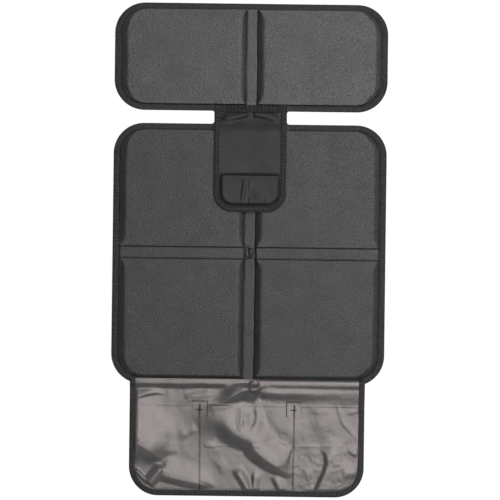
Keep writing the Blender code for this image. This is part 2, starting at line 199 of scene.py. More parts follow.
def grid_lines(start, end, marks, fine, coarse, reach):
    """Grid lines from start to end: the running sum of one over the spacing, cut into equal
    steps. The spacing is fine within reach of a mark and coarse past twice that."""
    line = np.linspace(start, end, 6001)
    gap = np.min(np.abs(line[:, None] - np.array(marks)[None, :]), axis=1)
    spacing = fine + (coarse - fine) * np.clip(gap / reach - 1, 0, 1)
    steps = np.concatenate(([0.0], np.cumsum(np.diff(line) / spacing[1:])))
    return np.interp(np.linspace(0, steps[-1], int(steps[-1]) + 1), steps, line)


def rounded_grid(box, radius, xs, ys, round_rear=True):
    """Grid over a rounded rectangle: in a corner's rows the columns draw in with the arc, whose
    half width is the full one less radius times 1 - sqrt(1 - turn squared)."""
    left, right, front, rear = box
    turn = np.clip(1 - (ys - front) / radius, 0, 1)
    if round_rear:
        turn = np.maximum(turn, np.clip(1 - (rear - ys) / radius, 0, 1))
    half = (right - left) / 2
    narrowed = half - radius * (1 - np.sqrt(1 - turn ** 2))
    x = (left + right) / 2 + xs[None, :] / half * narrowed[:, None]
    return x, np.repeat(ys[:, None], len(xs), axis=1)


def depth_inside(x, y, box, radius):
    """Distance inwards from the edge of a rounded rectangle, below zero outside it."""
    left, right, front, rear = box
    across = np.abs(x - (left + right) / 2) - (right - left) / 2 + radius
    along = np.abs(y - (front + rear) / 2) - (rear - front) / 2 + radius
    corner = np.hypot(np.maximum(across, 0), np.maximum(along, 0))
    return radius - np.minimum(np.maximum(across, along), 0) - corner


def smooth(t):
    """3t^2 - 2t^3 between 0 and 1."""
    t = np.clip(t, 0, 1)
    return t * t * (3 - 2 * t)


def plan_box(node, inset=0.0):
    """A CAD node's left, right, front and rear, drawn in by inset."""
    low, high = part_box(node)
    return low.x + inset, high.x - inset, low.y + inset, high.y - inset


def woven(tree, coordinate, pitch, depth, before=None):
    """Bump of a plain weave: the product of two crossed wave textures of the given pitch."""
    warp, weft = (add_node(tree, "TexWave", {"bands_direction": way, "Scale": WAVE_REPEAT / pitch,
                           "Distortion": 0.6, "Detail Scale": 0.4}, {"Vector": coordinate})
                  for way in "XY")
    both = add_node(tree, "Math", {"operation": "MULTIPLY"},
                    {0: warp.outputs["Fac"], 1: weft.outputs["Fac"]})
    links = {"Height": both} if before is None else {"Height": both, "Normal": before}
    return add_node(tree, "Bump", {"Strength": 0.5, "Distance": depth}, links)


# Woven polyester, matt and nearly black, with moulded rubber dots a shade lighter.
backing_cloth, tree = new_material("Non-slip dotted polyester")
place = add_node(tree, "TexCoord").outputs["Object"]
dots = add_node(tree, "TexVoronoi", {"Scale": 1 / GRIP_DOT_PITCH, "Randomness": 0.0}, {"Vector": place})
dot = add_node(tree, "MapRange", {"From Min": 0.22, "From Max": 0.30, "To Min": 1.0,
               "To Max": 0.0}, {"Value": dots})
colour = add_node(tree, "Mix", {"data_type": "RGBA", 6: linear(BACKING_COLOUR),
                  7: linear(GRIP_DOT_COLOUR)}, {0: dot})
raised = add_node(tree, "Bump", {"Strength": 0.8, "Distance": 0.0006}, {"Height": dot})
weave = woven(tree, place, 0.0016, 0.0003, raised)
shader = add_node(tree, "BsdfPrincipled", {"Roughness": 0.8, "IOR": 1.5,
                  "Specular IOR Level": 0.25}, {"Base Color": colour.outputs[2], "Normal": weave})
add_node(tree, "OutputMaterial", {}, {"Surface": shader})

for panel, crossings in PANELS:
    outer = plan_box(f"{panel}_binding", SEWN_EDGE)
    pads = plan_box(f"{panel}_binding", PAD_EDGE)
    xs = grid_lines(outer[0], outer[1], (outer[0], -CHANNEL_HALF, CHANNEL_HALF, outer[1]),
                    0.0016, 0.008, 0.014)
    ys = grid_lines(outer[2], outer[3], (outer[2], *crossings, outer[3]), 0.0016, 0.008, 0.014)
    x, y = rounded_grid(outer, PANEL_CORNER - SEWN_EDGE, xs, ys)
    down = smooth(depth_inside(x, y, pads, PANEL_CORNER - PAD_EDGE) / TRAY_RUN)
    down = down * smooth((np.abs(x - CHANNEL_MIDDLE) - CHANNEL_HALF) / TRAY_RUN)
    for crossing in crossings:
        down = down * smooth((np.abs(y - crossing) - CROSS_HALF) / TRAY_RUN)
    underside = CLOTH_LIFT * (1 - down)
    piece = slab(f"{panel}_underside", x, y, underside + BACKING_THICK, underside, backing_cloth)
    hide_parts(f"{panel}_backing")


# The quilted top of each panel: coated polyester over 8 mm foam, pressed down and sewn along one
# channel down the middle and, on the seat, one across it, so that soft square pads stand up.
COVER_FLOOR = 0.0027
PAD_RISE = 0.0080
STEEP_SIDE = 0.0080
SOFT_SIDE = 0.0135
END_BEVEL = 0.0006
FRONT_BEVEL = 0.0032
CROSS_END_BEVEL = 0.0008
CROSS_LIFT = 0.45
CROSS_SIDE_BEVEL = 0.0022
INNER_CORNER = 0.003
SEAM_GROOVE = 0.0005
SEAM_SPREAD = 0.0009
PINCH_DEPTH = 7.6  # in seam grooves, as is the pucker round it
PUCKER_HEIGHT = 9.0
COVER_THICK = 0.0009
COVER_DARK = "#0e0e0e"
COVER_LIGHT = "#393939"
COVER_WARM = "#271d1c"
GRAIN_SIZE = 0.0020


def ripple(x, y, cell, seed):
    """Smooth noise from -1 to 1: random values at the corners of square cells, joined across
    each cell by 3t^2 - 2t^3."""
    corner = np.random.default_rng(seed).uniform(-1.0, 1.0, (512, 512))
    u, v = x / cell + 300.0, y / cell + 300.0
    i, j = np.floor(u).astype(int), np.floor(v).astype(int)
    s, t = smooth(u - i), smooth(v - j)
    i, j, next_i, next_j = i % 512, j % 512, (i + 1) % 512, (j + 1) % 512
    low = corner[i, j] * (1 - s) + corner[next_i, j] * s
    high = corner[i, next_j] * (1 - s) + corner[next_i, next_j] * s
    return low * (1 - t) + high * t


def bevel(distance, run, soft=False):
    """A pad's edge. Steep: a wall of 0.42 on the seam, at three in one, then a slope of one in
    two that turns level at 1, from 0.8 to 1.8 runs off. Soft: 1 - (1 - t)^2 over one run."""
    t = np.clip(distance / run, 0, 1.8)
    steep = np.minimum(3 * t, 0.35 + 0.5 * t) - 0.25 * np.maximum(t - 0.8, 0) ** 2
    return np.where(soft, 1 - (1 - np.minimum(t, 1)) ** 2, steep)


def pad_lift(x, y, box, radii, side_run, end_run):
    """One pad from 0 to 1: a bevel over the distance inside its rounded outline, side_run wide
    where the outline faces sideways and end_run wide where it faces front or rear. The radii
    are those of the corners at left front, right front, left rear and right rear."""
    left, right, front, rear = box
    middle_x, middle_y = (left + right) / 2, (front + rear) / 2
    radius = np.choose((x > middle_x) + 2 * (y > middle_y), radii)
    across = np.abs(x - middle_x) - (right - left) / 2 + radius
    along = np.abs(y - middle_y) - (rear - front) / 2 + radius
    corner = np.hypot(np.maximum(across, 0), np.maximum(along, 0))
    depth = radius - np.minimum(np.maximum(across, along), 0) - corner
    turned = np.maximum(across, 0) / np.maximum(corner, 1e-9)
    sideways = np.where(corner > 1e-9, turned ** 2, across > along)
    soft = (x > middle_x) & (sideways > 0.5)
    return bevel(depth, end_run + (side_run - end_run) * sideways, soft)


def cover_material(name, sheen):
    """Black polyester with a satin coating: a broad sheen makes it look mid-grey where it faces
    the light and black where it turns away, and a fine grain breaks the sheen up. The real grain
    is near 0.5 mm, drawn at 2 mm so that it shows."""
    material, tree = new_material(name)
    place = add_node(tree, "TexCoord").outputs["Object"]
    grain = add_node(tree, "TexNoise", {"Scale": 1 / GRAIN_SIZE, "Detail": 2.0,
                     "Roughness": 0.7}, {"Vector": place})
    cloud = add_node(tree, "TexNoise", {"Scale": 24.0, "Detail": 3.0}, {"Vector": place})
    speckle = add_node(tree, "MapRange", {"From Min": 0.3, "From Max": 0.7}, {"Value": grain})
    dry = add_node(tree, "Mix", {"data_type": "RGBA", 6: linear(COVER_DARK),
                   7: linear(COVER_LIGHT)}, {0: speckle})
    warmth = add_node(tree, "MapRange", {"From Min": 0.5, "From Max": 0.7, "To Max": 0.6}, {"Value": cloud})
    colour = add_node(tree, "Mix", {"data_type": "RGBA", 7: linear(COVER_WARM)},
                      {0: warmth, 6: dry.outputs[2]})
    rough = add_node(tree, "Math", {"operation": "MULTIPLY_ADD", 1: 0.21, 2: 0.235}, {0: speckle})
    rough = add_node(tree, "Math", {"operation": "MULTIPLY_ADD", 1: 0.10}, {0: cloud, 2: rough})
    bump = add_node(tree, "Bump", {"Strength": 0.8, "Distance": 0.0010}, {"Height": grain})
    shader = add_node(tree, "BsdfPrincipled", {"IOR": 1.5, "Specular IOR Level": sheen},
                      {"Base Color": colour.outputs[2], "Roughness": rough, "Normal": bump})
    add_node(tree, "OutputMaterial", {}, {"Surface": shader})
    return material


def panel_top(x, y, panel):
    """Height of a panel's cover: the floor of the channels, plus the highest pad's lift there,
    less a narrow groove along the seams and a pinch in a pucker where the seat's channels
    cross. A pad is steep on its left side and soft on its right, and both narrow where a
    channel ends."""
    left, right, front, rear = plan_box(f"{panel}_binding", PAD_EDGE)
    outer, inner = PANEL_CORNER - PAD_EDGE, INNER_CORNER
    wander_x = x + 0.0005 * ripple(x, y, 0.040, 3) + 0.00025 * ripple(x, y, 0.014, 4)
    from_channel = np.abs(wander_x - CHANNEL_MIDDLE) - CHANNEL_HALF
    near_middle = np.abs(x - CHANNEL_MIDDLE) < 0.06
    room = np.where(near_middle, np.minimum(y - front, rear - y), 1.0)
    bands, end_run = [(front, rear)], np.full_like(x, END_BEVEL)
    if panel == "seat":
        bands = [(front, CROSS_CHANNEL - CROSS_HALF), (CROSS_CHANNEL + CROSS_HALF, rear)]
        from_cross = np.abs(y - CROSS_CHANNEL) - CROSS_HALF
        room = np.minimum(room, from_cross)
        end_run = np.where(from_cross < 0.03, CROSS_END_BEVEL, np.where(y < 0, FRONT_BEVEL, END_BEVEL))
    middles = ((left + CHANNEL_MIDDLE) / 2, (right + CHANNEL_MIDDLE) / 2)
    faces_left = x < np.where(x < CHANNEL_MIDDLE, *middles)
    side_run = np.where(faces_left, STEEP_SIDE, SOFT_SIDE)
    side_run = CROSS_SIDE_BEVEL + (side_run - CROSS_SIDE_BEVEL) * smooth((room + 0.002) / 0.022)
    lift = np.zeros_like(x)
    for low, high in bands:
        fore, aft = (outer if low == front else inner), (outer if high == rear else inner)
        west = (left, CHANNEL_MIDDLE - CHANNEL_HALF, low, high)
        east = (CHANNEL_MIDDLE + CHANNEL_HALF, right, low, high)
        for pad, radii in ((west, (fore, inner, aft, inner)), (east, (inner, fore, inner, aft))):
            lift = np.maximum(lift, pad_lift(wander_x, y, pad, radii, side_run, end_run))
    seam = np.exp(-(from_channel / SEAM_SPREAD) ** 2)
    if panel == "seat":
        from_side = np.minimum(from_channel, np.minimum(x - left, right - x))
        lift = np.maximum(lift, CROSS_LIFT * bevel(from_side, CROSS_SIDE_BEVEL) * (from_cross < 0.004))
        seam = np.maximum(seam, np.exp(-(from_cross / SEAM_SPREAD) ** 2))
        from_middle = y - CROSS_CHANNEL - 0.002
        pinch = np.exp(-((x + 0.0012 + 0.1 * from_middle) / 0.0022) ** 2 - (from_middle / 0.0052) ** 2)
        pucker = np.exp(-((x - CHANNEL_MIDDLE) / 0.006) ** 2 - (from_middle / 0.008) ** 2)
        seam = seam + PINCH_DEPTH * pinch - PUCKER_HEIGHT * pucker
    soft = 0.00030 * ripple(x, y, 0.050, 5) + 0.00010 * ripple(x, y, 0.013, 6)
    return COVER_FLOOR + PAD_RISE * lift + soft * lift - SEAM_GROOVE * seam


# The same cloth on both panels. The back panel's copy has a stronger sheen: painted light, standing in for
# the brighter light that falls on the back panel.
covers = {"seat": cover_material("Satin coated polyester", 0.41),
          "back": cover_material("Satin coated polyester with painted extra light", 0.58)}

for panel, crossings in PANELS:
    outer = plan_box(f"{panel}_binding", SEWN_EDGE)
    xs = grid_lines(outer[0], outer[1], (outer[0] + 0.013, -0.012, 0.014, outer[1] - 0.013),
                    0.0009, 0.0042, 0.011)
    seams = [crossing + side * CROSS_HALF for crossing in crossings for side in (-1, 1)]
    ys = grid_lines(outer[2], outer[3], (outer[2] + 0.010, *seams, outer[3] - 0.010),
                    0.00045, 0.0040, 0.004)
    x, y = rounded_grid(outer, PANEL_CORNER - SEWN_EDGE, xs, ys)
    top = panel_top(x, y, panel)
    bottom = np.minimum(top - COVER_THICK, 0.0020 - 0.0009 * smooth((top - COVER_FLOOR) / PAD_RISE))
    piece = slab(f"{panel}_padding", x, y, top, bottom, covers[panel])
    foams = [f"{row}_foam_{side}" for row in (("front", "rear") if crossings else ("back",))
             for side in ("left", "right")]
    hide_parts(f"{panel}_cover", *foams)


# Binding of the two panels: black grosgrain tape, 10 mm wide, folded over the edge of cover and
# backing and sewn through once along its inner side.
TAPE_WIDTH = 0.010
TAPE_THICK = 0.0006
TAPE_COLOUR = "#151515"
TAPE_RIB_COLOUR = "#5a5858"
TAPE_RIB_PITCH = 0.0024
THREAD_COLOUR = "#232222"
STITCH_INSET = 0.0082
STITCH_PITCH = 0.0036
STITCH_LENGTH = 0.0028
STITCH_THICK = 0.0007


def edge_path(box, radius, step, ring=True):
    """Way round a rounded rectangle, counter-clockwise: a spine on the corners' centres, the
    outward direction from it, and the distance run. Open paths leave out the rear side."""
    left, right, front, rear = box
    west, east, fore = left + radius, right - radius, front + radius
    stop = rear - radius if ring else rear
    turns = max(6, int(radius * math.pi / 2 / step))
    spine, out = [], []
    knots = ((west, stop), (west, fore), (east, fore), (east, stop), (west, stop))
    sides = zip(knots, knots[1:], (180, 270, 360, 450) if ring else (180, 270, 360))
    for number, (start, end, angle) in enumerate(sides):
        count = max(2, int(math.dist(start, end) / step))
        share = np.linspace(0, 1, count, endpoint=not ring and number == 2)[:, None]
        spine.append(np.array(start) * (1 - share) + np.array(end) * share)
        out.append(np.full(count, angle, float))
        if ring or number < 2:
            spine.append(np.repeat(np.array([end]), turns, axis=0))
            out.append(np.linspace(angle, angle + 90, turns, endpoint=False))
    spine, angle = np.concatenate(spine), np.radians(np.concatenate(out))
    out = np.stack((np.cos(angle), np.sin(angle)), -1)
    line = spine + out * radius
    run = np.concatenate(([0.0], np.cumsum(np.hypot(*np.diff(line, axis=0).T))))
    return spine, out, run


def inside_edge(box, radius, inset, ring=True):
    """Points every 2 mm along the edge, drawn in by inset."""
    spine, out = edge_path(box, radius, 0.002, ring)[:2]
    return spine + out * (radius - inset)


def folded_tape(name, box, radius, height, base, material, ring=True, step=0.0025, seed=1):
    """Tape folded round an edge: its section, a rounded fold with two leaves, is carried along
    the edge. Noise lifts the upper leaf and lets its inner side wander a little."""
    spine, out, run = edge_path(box, radius, step, ring)
    roll, width = TAPE_THICK, TAPE_WIDTH
    upper = ((0.0, height / 2), (0.0001, height - 0.9 * roll), (0.5 * roll, height - 0.3 * roll),
             (1.3 * roll, height), (0.3 * width, height + 0.0003), (0.6 * width, height + 0.0004),
             (0.85 * width, height + 0.0002), (width, height - 0.0001),
             (width, height - roll), (roll, height - roll))
    lower = ((roll, roll), (width, roll), (width, 0.0), (1.3 * roll, 0.0),
             (0.5 * roll, 0.3 * roll), (0.0001, 0.9 * roll))
    section = np.array(upper + lower)
    inset, level = section[:, 0][:, None], section[:, 1][:, None]
    loose = (inset / width) * (level > height / 2)
    inset = inset + loose * 0.0004 * ripple(run, run * 0, 0.013, seed)[None, :]
    level = level + loose * 0.00025 * ripple(run, run * 0, 0.007, seed + 1)[None, :]
    plan = spine[None] + out[None] * (radius - inset)[..., None]
    z = base(plan[..., 0], plan[..., 1]) + level
    points = np.concatenate((plan, z[..., None]), -1).reshape(-1, 3)
    rows, columns = len(section), len(run)
    grid = np.arange(rows * columns).reshape(rows, columns)
    after = np.roll(grid, -1, axis=0)
    if ring:
        grid, after = np.column_stack((grid, grid[:, 0])), np.column_stack((after, after[:, 0]))
    faces = np.stack((grid[:, :-1], after[:, :-1], after[:, 1:], grid[:, 1:]), -1).reshape(-1, 4)
    if not ring:
        half = rows // 2
        ends = [np.stack((end[:half - 1], end[1:half], end[rows - 2:half - 1:-1],
                          end[rows - 1:half:-1]), -1) for end in (grid[:, 0], grid[:, -1])]
        faces = np.concatenate((faces, ends[0], ends[1][:, ::-1]))
    texture = np.stack(np.broadcast_arrays(run[None, :], section[:, :1]), -1).reshape(-1, 2)
    return mesh_piece(name, points, faces, material, texture)


def stitch_row(x, y, z, pitch=STITCH_PITCH, length=STITCH_LENGTH, thick=STITCH_THICK):
    """Stitches along a line of points: a short thread every pitch, five-sided, thin and sunk at
    both ends. Returns points and quads."""
    line = np.stack(np.broadcast_arrays(x, y, z), -1)
    run = np.concatenate(([0.0], np.cumsum(np.linalg.norm(np.diff(line, axis=0), axis=1))))
    middles = np.arange(pitch / 2, run[-1] - pitch / 4, pitch)
    ends = [np.stack([np.interp(middles + side * length / 2, run, line[:, k]) for k in range(3)], -1)
            for side in (-1, 1)]
    along = (ends[1] - ends[0]) / np.linalg.norm(ends[1] - ends[0], axis=1)[:, None]
    across = np.stack((-along[:, 1], along[:, 0], 0 * along[:, 0]), -1)
    across = across / np.linalg.norm(across, axis=1)[:, None]
    up = np.cross(along, across)
    share = np.array([-0.5, -0.32, 0.0, 0.32, 0.5])
    girth = np.array([0.25, 0.9, 1.0, 0.9, 0.25]) * thick / 2
    rise = np.array([-0.9, 0.0, 0.35, 0.0, -0.9]) * thick / 2
    angle = np.arange(5) / 5 * 2 * math.pi
    centre = (ends[0] + ends[1])[:, None, None] / 2
    shape = (centre + along[:, None, None] * share[None, :, None, None] * length
             + across[:, None, None] * (girth[:, None] * np.cos(angle))[None, ..., None]
             + up[:, None, None] * (rise[:, None] + girth[:, None] * np.sin(angle))[None, ..., None])
    ring = np.arange(25).reshape(5, 5)
    turned = np.roll(ring, -1, axis=1)
    quads = np.stack((ring[:-1], turned[:-1], turned[1:], ring[1:]), -1).reshape(-1, 4)
    quads = np.concatenate((quads, [[0, 4, 3, 2], [20, 21, 22, 23]]))
    faces = (quads[None] + 25 * np.arange(len(middles))[:, None, None]).reshape(-1, 4)
    return shape.reshape(-1, 3), faces


def sewn(name, rows, material):
    """One piece from several rows of stitches."""
    points, faces = zip(*rows)
    starts = np.cumsum([0] + [len(row) for row in points])
    faces = np.concatenate([row + start for row, start in zip(faces, starts)])
    return mesh_piece(name, np.concatenate(points), faces, material)


def tape_material(name, dark, light, rib, roughness):
    """Grosgrain: cross ribs along the tape's own run, uneven in tone, over a matt filament."""
    material, tree = new_material(name)
    way = add_node(tree, "UVMap", {"uv_map": "cloth_run"}).outputs["UV"]
    ribs = add_node(tree, "TexWave", {"bands_direction": "X", "Scale": WAVE_REPEAT / rib,
                    "Distortion": 1.2, "Detail": 2.0, "Detail Scale": 0.7}, {"Vector": way})
    patchy = add_node(tree, "TexNoise", {"Scale": 160.0, "Detail": 3.0}, {"Vector": way})
    tone = add_node(tree, "Math", {"operation": "MULTIPLY"}, {0: ribs.outputs["Fac"], 1: patchy})
    colour = add_node(tree, "Mix", {"data_type": "RGBA", 6: linear(dark), 7: linear(light)}, {0: tone})
    bump = add_node(tree, "Bump", {"Strength": 0.8, "Distance": 0.0005}, {"Height": ribs.outputs["Fac"]})
    shader = add_node(tree, "BsdfPrincipled", {"Roughness": roughness, "IOR": 1.5,
                      "Specular IOR Level": 0.22}, {"Base Color": colour.outputs[2], "Normal": bump})
    add_node(tree, "OutputMaterial", {}, {"Surface": shader})
    return material


def thread_material(name, dark, light):
    """Twisted polyester thread: fine slanting strands, slightly glossy."""
    material, tree = new_material(name)
    place = add_node(tree, "TexCoord").outputs["Object"]
    twist = add_node(tree, "TexWave", {"bands_direction": "DIAGONAL", "Scale": 400.0,
                     "Distortion": 0.5}, {"Vector": place})
    colour = add_node(tree, "Mix", {"data_type": "RGBA", 6: linear(dark), 7: linear(light)},
                      {0: twist.outputs["Fac"]})
    shader = add_node(tree, "BsdfPrincipled", {"Roughness": 0.55, "IOR": 1.5,
                      "Specular IOR Level": 0.35}, {"Base Color": colour.outputs[2]})
    add_node(tree, "OutputMaterial", {}, {"Surface": shader})
    return material


# Polyester grosgrain ribbon, dyed black and matt. The real ribs are 1 mm apart, drawn at 2.4 mm.
grosgrain = tape_material("Black grosgrain ribbon", TAPE_COLOUR, TAPE_RIB_COLOUR, TAPE_RIB_PITCH, 0.5)
black_thread = thread_material("Black polyester thread", THREAD_COLOUR, "#3c3a39")

for panel in ("seat", "back"):
    box = plan_box(f"{panel}_binding")
    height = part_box(f"{panel}_binding")[1].z
    piece = folded_tape(f"{panel}_tape", box, PANEL_CORNER, height, lambda x, y: 0 * x, grosgrain,
                        seed=21 if panel == "seat" else 25)
    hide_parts(f"{panel}_binding")
    plan = inside_edge(box, PANEL_CORNER, STITCH_INSET)
    plan = np.vstack((plan, plan[:1]))
    piece = sewn(f"{panel}_tape_stitches", [stitch_row(*plan.T, height + 0.0003)], black_thread)

# Seams of the channels: a row of lock stitch along both sides of each, where cover and backing
# are sewn together between the foams.
brown_thread = thread_material("Faded brown-black thread", "#2b2524", "#4a403d")
reach = {"seat": (-0.2185, 0.2040), "back": (0.2470, 0.4090)}
for panel, (start, end) in reach.items():
    rows = []
    for side in (-1, 1):
        y = np.linspace(start, end, 300)
        x = CHANNEL_MIDDLE + side * CHANNEL_HALF + 0.0003 * ripple(y, y * 0, 0.02, 31)
        rows.append(stitch_row(x, y, panel_top(x, y, panel) + 0.0002))
    if panel == "seat":
        for side in (-1, 1):
            for low, high in ((-0.2215, -0.0095), (0.0115, 0.2215)):
                x = np.linspace(low, high, 200)
                y = CROSS_CHANNEL + side * CROSS_HALF + 0.0003 * ripple(x, x * 0, 0.02, 32)
                rows.append(stitch_row(x, y, panel_top(x, y, panel) + 0.0002))
    piece = sewn(f"{panel}_channel_stitches", rows, brown_thread)


# The neck: a strip of the flap's nylon that joins the two panels across the belt gap, sewn to
# both bound edges, with a small flare at each of its four corners.
NYLON_THICK = 0.0005
FLAP_DARK = "#202121"
FLAP_LIGHT = "#2a2828"

# Plain-woven nylon, uncoated and matt, charcoal; warm and cool patches a few centimetres wide.
# The real yarns are 0.3 mm apart, drawn at 1.5 mm.
flap_nylon, tree = new_material("Matt charcoal nylon")
place = add_node(tree, "TexCoord").outputs["Object"]
cloud = add_node(tree, "TexNoise", {"Scale": 45.0, "Detail": 2.0}, {"Vector": place})
warmth = add_node(tree, "MapRange", {"From Min": 0.4, "From Max": 0.62}, {"Value": cloud})
colour = add_node(tree, "Mix", {"data_type": "RGBA", 6: linear(FLAP_DARK),
                  7: linear(FLAP_LIGHT)}, {0: warmth})
weave = woven(tree, place, 0.0015, 0.00025)
shader = add_node(tree, "BsdfPrincipled", {"Roughness": 0.5, "IOR": 1.5,
                  "Specular IOR Level": 0.28}, {"Base Color": colour.outputs[2], "Normal": weave})
add_node(tree, "OutputMaterial", {}, {"Surface": shader})

NECK_HALF = 0.06175
NECK_FLARE = 0.004
NECK_THICK = 0.0008
low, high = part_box("neck_web")
gap_front, gap_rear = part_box("seat_binding")[1].y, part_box("back_binding")[0].y
ys = grid_lines(low.y, high.y, (gap_front, gap_rear), 0.0008, 0.003, 0.005)
from_edge = np.minimum(ys - gap_front, gap_rear - ys)
flare = NECK_FLARE * (1 - np.sqrt(1 - np.clip(1 - from_edge / NECK_FLARE, 0, 1) ** 2))
x = np.linspace(-1, 1, 60)[None, :] * (NECK_HALF + flare)[:, None]
y = np.repeat(ys[:, None], 60, axis=1)
lift = low.z + 0.0003 * ripple(x, y, 0.012, 41) * smooth(from_edge / 0.006)[:, None]
piece = slab("neck", x, y, lift + NECK_THICK, lift, flap_nylon)
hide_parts("neck_web")


# The anchor flap: nylon hemmed with tape on three sides, sewn under a ribbed header tape on the
# back panel's edge. It lies over the neck and the rear pads; its lower third is a slip pocket.
FLAP_BOX = plan_box("flap_binding")
FLAP_CORNER = 0.032
FLAP_HIGH = 0.0112
FLAP_LOW = 0.0052
FLAP_MOUTH = 0.1285
HEADER_FRONT = 0.2345
HEADER_RIB = 0.0023
HEM_HEIGHT = 0.0031


def smooth_line(knots, count):
    """Curve through the knots: between two of them, the Catmull-Rom cubic."""
    knots = np.array(knots, float)
    knots = np.vstack((2 * knots[0] - knots[1], knots, 2 * knots[-1] - knots[-2]))
    u = np.linspace(0, len(knots) - 3 - 1e-6, count)
    i = u.astype(int)
    t = (u - i)[:, None]
    a, b, c, d = (knots[i + k] for k in range(4))
    square, cube = 2 * a - 5 * b + 4 * c - d, 3 * b - a - 3 * c + d
    return (2 * b + (c - a) * t + square * t ** 2 + cube * t ** 3) / 2


def fold(x, y, crest, height, shade, light, fade=(0.4, 0.4), sharp=0.0):
    """One fold of cloth along a crest, in millimetres: full height on the crest, falling by
    3t^2 - 2t^3 over the shaded width on the crest's right hand and the lit width on its left.
    Widths may change along the run, and the fold fades out over a share of it at each end.
    A sharp fold falls by 2t - t^2 on its shaded side, so that it breaks at the crest."""
    line = smooth_line(crest, 6 * len(crest)) / 1000
    start, step = line[:-1], np.diff(line, axis=0)
    length = np.hypot(step[:, 0], step[:, 1])
    run = np.concatenate(([0.0], np.cumsum(length)))
    best = np.full(x.shape, np.inf)
    side, share = np.zeros(x.shape), np.zeros(x.shape)
    for k in range(len(step)):
        px, py = x - start[k, 0], y - start[k, 1]
        along = np.clip((px * step[k, 0] + py * step[k, 1]) / length[k] ** 2, 0, 1)
        gap = np.hypot(px - along * step[k, 0], py - along * step[k, 1])
        nearer = gap < best
        best = np.where(nearer, gap, best)
        side = np.where(nearer, px * step[k, 1] - py * step[k, 0], side)
        share = np.where(nearer, (run[k] + along * length[k]) / run[-1], share)
    shade, light = (np.array(width, float) / 1000 for width in (shade, light))
    width = np.where(side > 0, shade[0] + (shade[1] - shade[0]) * share,
                     light[0] + (light[1] - light[0]) * share)
    ends = smooth(share / max(fade[0], 1e-6)) * smooth((1 - share) / max(fade[1], 1e-6))
    t = np.clip(best / width, 0, 1)
    drop = smooth(t) + sharp * (side > 0) * (t * (2 - t) - smooth(t))
    return height / 1000 * ends * (1 - drop)


def flap_base(x, y):
    """Underside of the flap: low over the neck, up the rear pads' shoulders, and dipping into
    the channel between them."""
    climb = smooth((0.228 - y) / 0.031)
    dip = 0.0005 * np.exp(-(x / 0.014) ** 2) * climb
    return FLAP_LOW + (FLAP_HIGH - FLAP_LOW) * climb - dip


FLAP_FOLDS = (
    (((-54, 221), (-40, 223), (-20, 227), (-2, 231)), 3.8, (10, 6), (14, 12), (0.3, 0.1)),
    (((3, 231), (20, 229), (38, 225), (54, 221)), 3.4, (7, 11), (12, 14), (0.1, 0.3)),
    (((0, 236), (1, 228), (1, 218)), 0.6, (3, 6), (3, 6), (0.2, 0.7)),
    (((-38, 215), (-10, 205), (20, 208)), 0.5, (20, 20), (20, 20)),
    (((20, 180), (-10, 160), (-40, 158)), 0.4, (18, 18), (18, 18)),
)
POUCH_FOLDS = (
    (((-9, 124), (-9.5, 112), (-12, 92), (-15, 80)), 1.9, (5, 4), (8, 6), (0.35, 0.3)),
    (((1, 122), (0, 108), (2, 98)), 0.8, (4, 4), (6, 6)),
    (((1, 92), (0, 82), (-1, 75)), 1.0, (2.5, 3), (4, 4), (0.3, 0.1)),
    (((30, 90), (27, 83), (26, 77)), 0.8, (2.5, 3), (4, 4), (0.4, 0.1)),
    (((-14, 84), (-12, 75)), 0.9, (2, 3), (4, 4), (0.3, 0.1)),
)

inner = (*plan_box("flap_binding", SEWN_EDGE)[:3], FLAP_BOX[3] - LAYER_GAP)
xs = np.linspace(inner[0], inner[1], 118)
ys = grid_lines(inner[2], inner[3], (inner[2], FLAP_MOUTH, 0.228), 0.0008, 0.0016, 0.010)
x, y = rounded_grid(inner, FLAP_CORNER - SEWN_EDGE, xs, ys, round_rear=False)
outline = (*inner[:3], FAR_REAR)
held = smooth((depth_inside(x, y, outline, FLAP_CORNER) - 0.006) / 0.006)
flap_rise = sum(fold(x, y, *item) for item in FLAP_FOLDS) + 0.00025 * ripple(x, y, 0.016, 51)
under_header = smooth((HEADER_FRONT + 0.001 - y) / 0.002)
opening = 0.0013 * np.exp(-((y - FLAP_MOUTH - 0.0008) / 0.0008) ** 2)
opening = opening * smooth((0.060 - np.abs(x)) / 0.024)
body = flap_base(x, y) + CLOTH_LIFT + flap_rise * held * under_header - opening
piece = slab("flap", x, y, body + NYLON_THICK, body, flap_nylon)
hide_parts("flap_body")

low_rows = ys < FLAP_MOUTH
px, py = x[low_rows], y[low_rows]
down = FLAP_MOUTH - py
belly = 0.0050 * smooth((depth_inside(px, py, outline, FLAP_CORNER) - 0.0086) / 0.0064)
belly = belly * (0.70 * smooth(down / 0.0024) + 0.30 * smooth(down / 0.016))
wrinkles = sum(fold(px, py, *item) for item in POUCH_FOLDS) + 0.0003 * ripple(px, py, 0.014, 52)
pouch = body[low_rows] + NYLON_THICK + LAYER_GAP + belly + wrinkles * held[low_rows]
pouch_top = pouch + NYLON_THICK + 0.0004 * np.exp(-((down - 0.0026) / 0.0012) ** 2)
piece = slab("flap_slip_pocket", px, py, pouch_top, pouch, flap_nylon)
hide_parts("flap_pocket")

